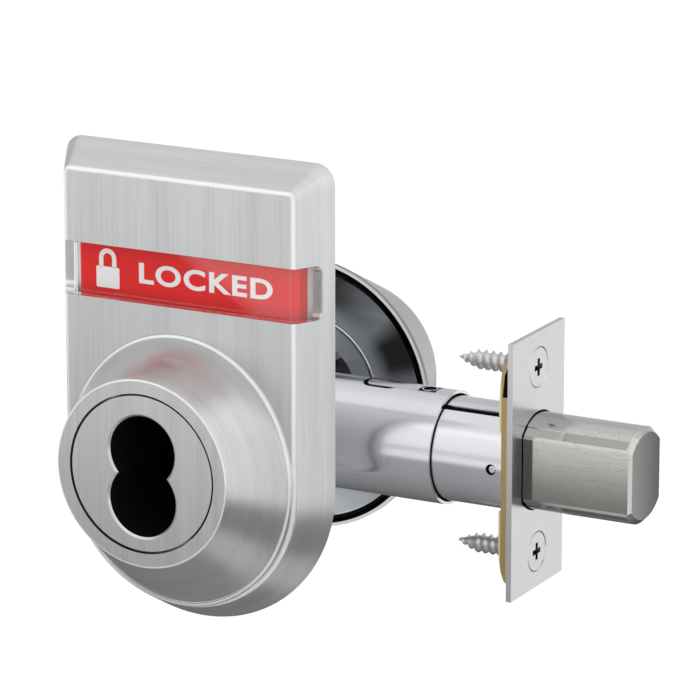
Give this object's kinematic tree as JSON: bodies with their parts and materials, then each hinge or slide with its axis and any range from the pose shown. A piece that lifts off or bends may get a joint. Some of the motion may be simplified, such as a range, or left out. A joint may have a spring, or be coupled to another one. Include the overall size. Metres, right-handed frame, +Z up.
{
  "type": "deadbolt lock",
  "caption": "Tubular deadbolt lock with an indicator plate and core socket outside and a turn inside, coupled to the bolt and the indicator flag.",
  "frame": {"origin": "where the axis of the bolt crosses the axis of the cross bore, midway between the two trims", "axes": "+X along the bolt towards the edge of the door, -Y to the outside of the door, +Z up"},
  "size_m": [0.1284, 0.1115, 0.1048],
  "materials": {
    "satin_trim": "satin chrome, brushed",
    "lens": "clear moulded plastic, polished",
    "flag_red": "glossy red, with a white symbol and word",
    "guide_plastic": "matt black moulding",
    "bushing_plastic": "natural nylon",
    "zinc_steel": "bright zinc plate",
    "spring_steel": "blued spring steel",
    "bright_tube": "polished bright zinc",
    "brass_plate": "yellow dichromate",
    "face_steel": "fine satin",
    "bolt_steel": "satin nickel, slightly grained",
    "hard_steel": "hardened, ground"
  },
  "bodies": {
    "lock_body": {"indicator_plate": "satin_trim", "window_lens": "lens", "collar": "satin_trim", "core_housing": "satin_trim", "housing_ring": "zinc_steel", "flag_guide": "guide_plastic", "support_plate": "zinc_steel", "support_screws": "zinc_steel", "mounting_posts": "zinc_steel", "mounting_bolts": "zinc_steel", "inner_plate": "bright_tube", "inside_rose": "satin_trim", "turn_bushing": "bushing_plastic", "case_plate_outside": "zinc_steel", "case_plate_inside": "zinc_steel", "case_rivets": "zinc_steel", "detent_spring": "spring_steel", "outer_sleeve": "bright_tube", "backset_button": "bright_tube", "inner_tube": "bright_tube", "tube_stake": "bright_tube", "backing_plate": "brass_plate", "faceplate": "face_steel", "faceplate_screws": "zinc_steel"},
    "bolt": {"deadbolt": "bolt_steel", "bolt_bar": "zinc_steel", "bar_pin": "zinc_steel"},
    "roller": {"saw_pin": "hard_steel"},
    "turn": {"thumbturn": "satin_trim", "turn_clip": "zinc_steel", "spindle": "zinc_steel", "throw_member": "zinc_steel", "flag_crank": "zinc_steel", "cam_hub": "zinc_steel"},
    "flag": {"indicator_flag": "flag_red", "flag_link": "zinc_steel"}
  },
  "joints": [
    {"name": "turn_rotate", "type": "hinge", "parent": "lock_body", "child": "turn", "pos_m": [0, 0, 0], "axis": [0, -1, 0], "range_deg": [0, 90]},
    {"name": "bolt_throw", "type": "slide", "parent": "lock_body", "child": "bolt", "axis": [1, 0, 0], "range_m": [-0.0254, 0]},
    {"name": "flag_lift", "type": "slide", "parent": "lock_body", "child": "flag", "axis": [0, 0, 1], "range_m": [-0.0127, 0]},
    {"name": "saw_pin_spin", "type": "hinge", "parent": "bolt", "child": "roller", "pos_m": [0.075, 0, 0], "axis": [1, 0, 0], "continuous": true}
  ],
  "couplings": [
    {"joint": "turn_rotate", "follows": "bolt_throw", "rad_per_m": -61.842},
    {"joint": "flag_lift", "follows": "bolt_throw", "ratio": 0.5}
  ]
}
